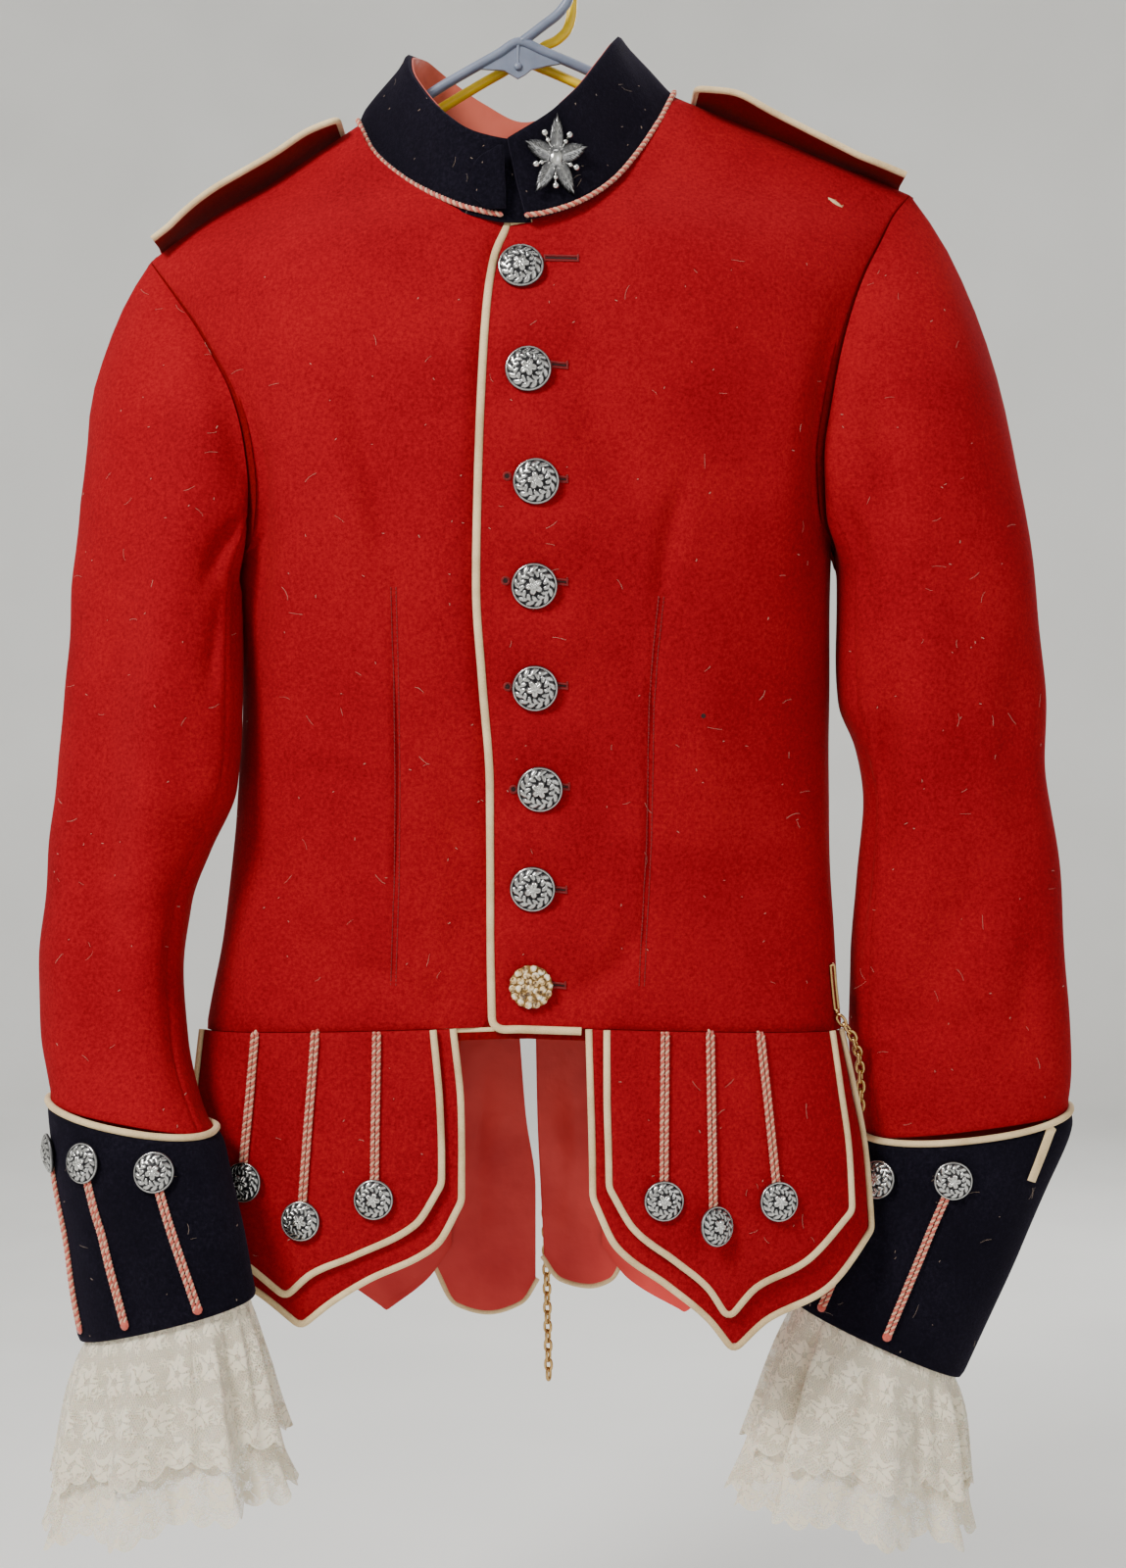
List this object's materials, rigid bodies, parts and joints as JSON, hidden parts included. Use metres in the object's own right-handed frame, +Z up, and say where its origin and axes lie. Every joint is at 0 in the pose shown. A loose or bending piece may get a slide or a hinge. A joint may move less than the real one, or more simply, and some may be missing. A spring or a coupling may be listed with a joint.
{
  "type": "highland doublet on hangers",
  "caption": "Fitted short wool jacket with stand collar, pointed skirt flaps, gauntlet cuffs with lace frills, hung on plastic hangers.",
  "frame": {"origin": "inner top of the blue hanger's hook, where a rail or peg holds it", "axes": "+Z up, front of the jacket towards -Y, the wearer's left towards +X"},
  "size_m": [0.6083, 0.2108, 0.9535],
  "materials": {
    "scarlet_wool": "napped scarlet wool",
    "navy_wool": "napped navy-black wool",
    "cream_piping": "cream felt piping",
    "salmon_lining": "faded salmon satin lining",
    "salmon_cord": "twisted salmon and cream cord",
    "ivory_lace": "ivory machine lace with flowers",
    "old_silver": "antiqued silver relief",
    "gilt": "gilt brass",
    "blue_grey_plastic": "blue-grey moulded plastic",
    "yellow_plastic": "yellow moulded plastic"
  },
  "bodies": {
    "root": {"front_left": "scarlet_wool", "front_right": "scarlet_wool", "back_left": "scarlet_wool", "back_right": "scarlet_wool", "sleeve_top_left": "scarlet_wool", "sleeve_top_right": "scarlet_wool", "sleeve_under_left": "scarlet_wool", "sleeve_under_right": "scarlet_wool", "flap_top_left": "scarlet_wool", "flap_top_right": "scarlet_wool", "flap_under_left": "scarlet_wool", "flap_under_right": "scarlet_wool", "back_flap_left": "scarlet_wool", "back_flap_right": "scarlet_wool", "strap_left": "scarlet_wool", "strap_right": "scarlet_wool", "collar": "navy_wool", "collar_tab": "navy_wool", "cuff_left": "navy_wool", "cuff_right": "navy_wool", "front_piping": "cream_piping", "cuff_piping_left": "cream_piping", "cuff_piping_right": "cream_piping", "flap_top_left_piping": "cream_piping", "flap_top_right_piping": "cream_piping", "flap_under_left_piping": "cream_piping", "flap_under_right_piping": "cream_piping", "collar_lining": "salmon_lining", "tail_left": "salmon_lining", "tail_right": "salmon_lining", "collar_cord": "salmon_cord", "lace_upper_left": "ivory_lace", "lace_upper_right": "ivory_lace", "lace_lower_left": "ivory_lace", "lace_lower_right": "ivory_lace", "front_button_1": "old_silver", "front_button_2": "old_silver", "front_button_3": "old_silver", "front_button_4": "old_silver", "front_button_5": "old_silver", "front_button_6": "old_silver", "front_button_7": "old_silver", "badge": "old_silver", "flap_button_left_1": "old_silver", "flap_button_left_2": "old_silver", "flap_button_left_3": "old_silver", "flap_button_right_1": "old_silver", "flap_button_right_2": "old_silver", "flap_button_right_3": "old_silver", "cuff_button_left_1": "old_silver", "cuff_button_left_2": "old_silver", "cuff_button_left_3": "old_silver", "cuff_button_right_1": "old_silver", "cuff_button_right_2": "old_silver", "cuff_button_right_3": "old_silver", "front_button_8": "gilt", "chain": "gilt", "side_hook": "gilt", "hanger_blue": "blue_grey_plastic", "hanger_yellow": "yellow_plastic"}
  },
  "joints": []
}
